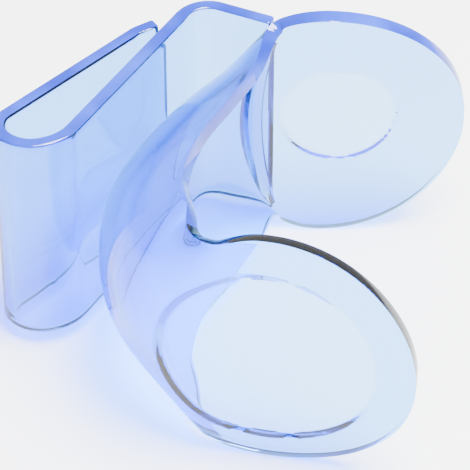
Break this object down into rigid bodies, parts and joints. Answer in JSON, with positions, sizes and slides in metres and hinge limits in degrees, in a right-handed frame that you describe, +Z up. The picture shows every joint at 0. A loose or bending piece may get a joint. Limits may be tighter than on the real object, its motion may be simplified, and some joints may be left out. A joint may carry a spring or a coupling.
{
  "type": "pill splitter",
  "caption": "Clear blue squeeze pill splitter: thin strip bent into a spring clip and a bowed jaw with a breaking rib and round finger lobes.",
  "frame": {"origin": "under the middle of the object's box, on the surface that the lobes stand on", "axes": "+Z up, across the strip; +X towards the open mouth of the jaw; +Y from the front lobe to the back lobe"},
  "size_m": [0.0608, 0.0542, 0.0376],
  "materials": {
    "clear_blue": "clear polished moulding"
  },
  "bodies": {
    "root": {"hairpin_bend": "clear_blue", "inner_wall": "clear_blue", "shoulder": "clear_blue", "back_lobe": "clear_blue", "back_pad_floor": "clear_blue", "splitting_rib": "clear_blue", "arm_root": "clear_blue", "arm_bend": "clear_blue"},
    "front": {"front_arm": "clear_blue", "front_lobe": "clear_blue", "front_pad_floor": "clear_blue"},
    "tongue": {"clip_tongue": "clear_blue"}
  },
  "joints": [
    {"name": "jaw_squeeze", "type": "hinge", "parent": "root", "child": "front", "pos_m": [-0.00885, 0.00847, 0.0188], "axis": [0, 0, 1], "range_deg": [0, 15], "stiffness_Nm_per_rad": 0.8, "deforming": ["arm_bend"]},
    {"name": "clip_flex", "type": "hinge", "parent": "root", "child": "tongue", "pos_m": [-0.02635, 0.00227, 0.0188], "axis": [0, 0, 1], "range_deg": [0, 8], "stiffness_Nm_per_rad": 0.5, "deforming": ["hairpin_bend"]}
  ]
}
